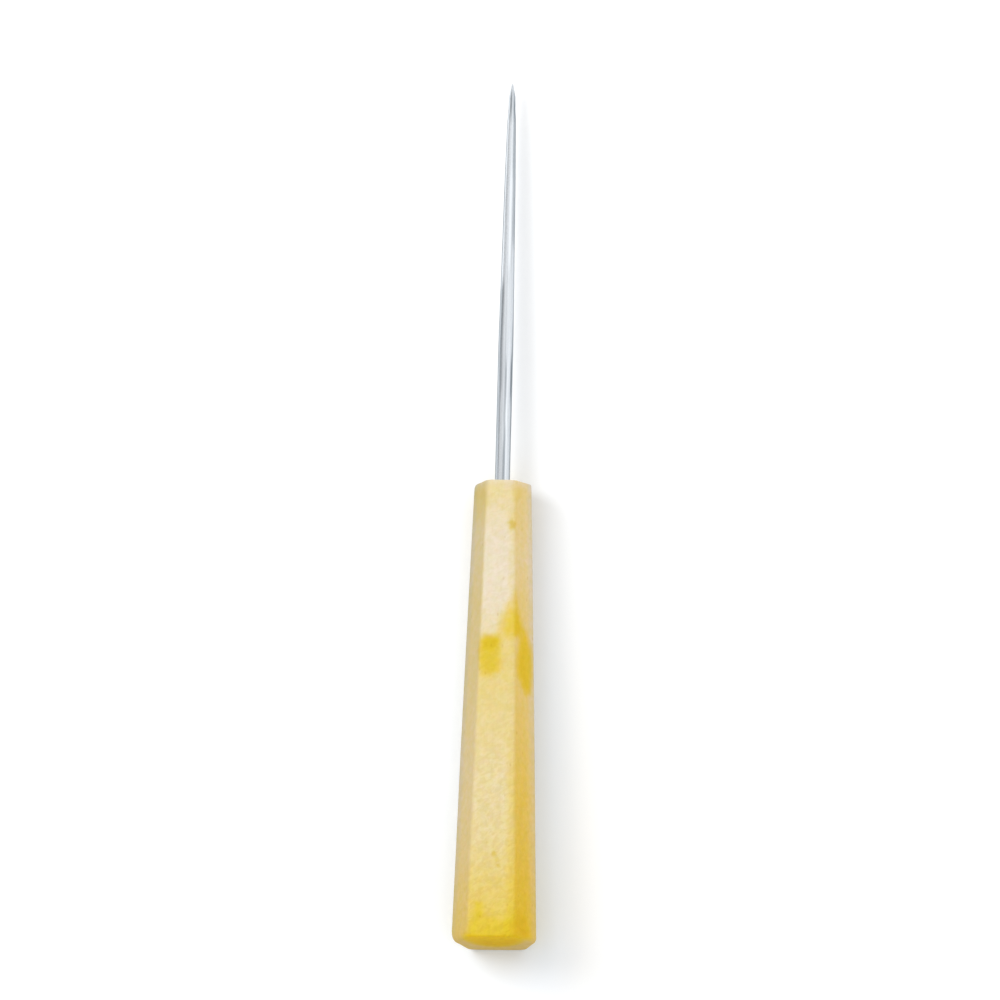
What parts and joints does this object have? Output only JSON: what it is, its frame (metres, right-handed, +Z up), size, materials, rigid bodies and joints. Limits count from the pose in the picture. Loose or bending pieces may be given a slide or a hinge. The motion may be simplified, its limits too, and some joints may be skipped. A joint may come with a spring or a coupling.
{
  "type": "awl",
  "caption": "Awl with a slim round steel needle and a tapered six-sided wooden handle, lying on one facet of the handle.",
  "frame": {"origin": "on the surface that the tool lies on, under the middle of the whole tool", "axes": "+Y along the tool towards the needle's tip, +Z up from the facet that the handle lies on, +X across the handle"},
  "size_m": [0.0194, 0.2002, 0.0182],
  "materials": {
    "lacquered_wood": "clear yellow lacquer, satin to gloss, over pale hardwood",
    "polished_steel": "ground and polished lengthwise"
  },
  "bodies": {
    "root": {"handle": "lacquered_wood", "blade": "polished_steel"}
  },
  "joints": []
}
